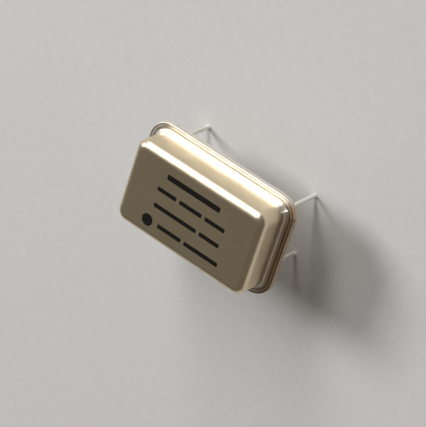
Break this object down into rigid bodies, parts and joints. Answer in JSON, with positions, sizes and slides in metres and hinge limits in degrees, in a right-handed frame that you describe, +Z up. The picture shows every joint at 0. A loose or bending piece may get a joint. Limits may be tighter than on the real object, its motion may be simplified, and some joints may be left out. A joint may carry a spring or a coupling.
{
  "type": "crystal oscillator",
  "caption": "Metal-can clock oscillator: a drawn lid welded to a flanged base, round leads on a dual-in-line grid, and a quartz crystal circuit sealed inside.",
  "frame": {"origin": "centre of the seating plane, which is the flat underside of the base, between the four leads", "axes": "+Z up through the lid, so the leads point along -Z; +X along the can from pins 1 and 14 towards pins 7 and 8; +Y across the can towards pins 8 and 14"},
  "size_m": [0.02, 0.0126, 0.0118],
  "materials": {
    "lid_nickel": "satin",
    "base_nickel": "satin",
    "seal_glass": "gloss",
    "braze_metal": "satin",
    "tinned_lead": "satin",
    "alumina": "matte",
    "printed_metal": "satin",
    "solder": "gloss",
    "quartz": "gloss",
    "electrode_gold": "polished",
    "clip_metal": "satin",
    "silver_adhesive": "matte",
    "chip_silicon": "gloss",
    "bond_gold": "polished",
    "capacitor_ceramic": "matte",
    "capacitor_tin": "satin",
    "marking_ink": "matte"
  },
  "bodies": {
    "root": {"lid": "lid_nickel", "base": "base_nickel", "glass_seal_pin_1": "seal_glass", "glass_seal_pin_8": "seal_glass", "glass_seal_pin_14": "seal_glass", "braze_pin_7": "braze_metal", "lead_pin_1": "tinned_lead", "lead_pin_7": "tinned_lead", "lead_pin_8": "tinned_lead", "lead_pin_14": "tinned_lead", "substrate": "alumina", "printed_conductors": "printed_metal", "solder_pin_1": "solder", "solder_pin_7": "solder", "solder_pin_8": "solder", "solder_pin_14": "solder", "quartz_blank": "quartz", "electrode_top": "electrode_gold", "electrode_bottom": "electrode_gold", "crystal_clip_left": "clip_metal", "crystal_clip_right": "clip_metal", "clip_adhesive_left": "silver_adhesive", "clip_adhesive_right": "silver_adhesive", "oscillator_chip": "chip_silicon", "bond_wires": "bond_gold", "bypass_capacitor": "capacitor_ceramic", "bypass_capacitor_ends": "capacitor_tin", "load_capacitor_left": "capacitor_ceramic", "load_capacitor_left_ends": "capacitor_tin", "load_capacitor_right": "capacitor_ceramic", "load_capacitor_right_ends": "capacitor_tin"}
  },
  "joints": []
}
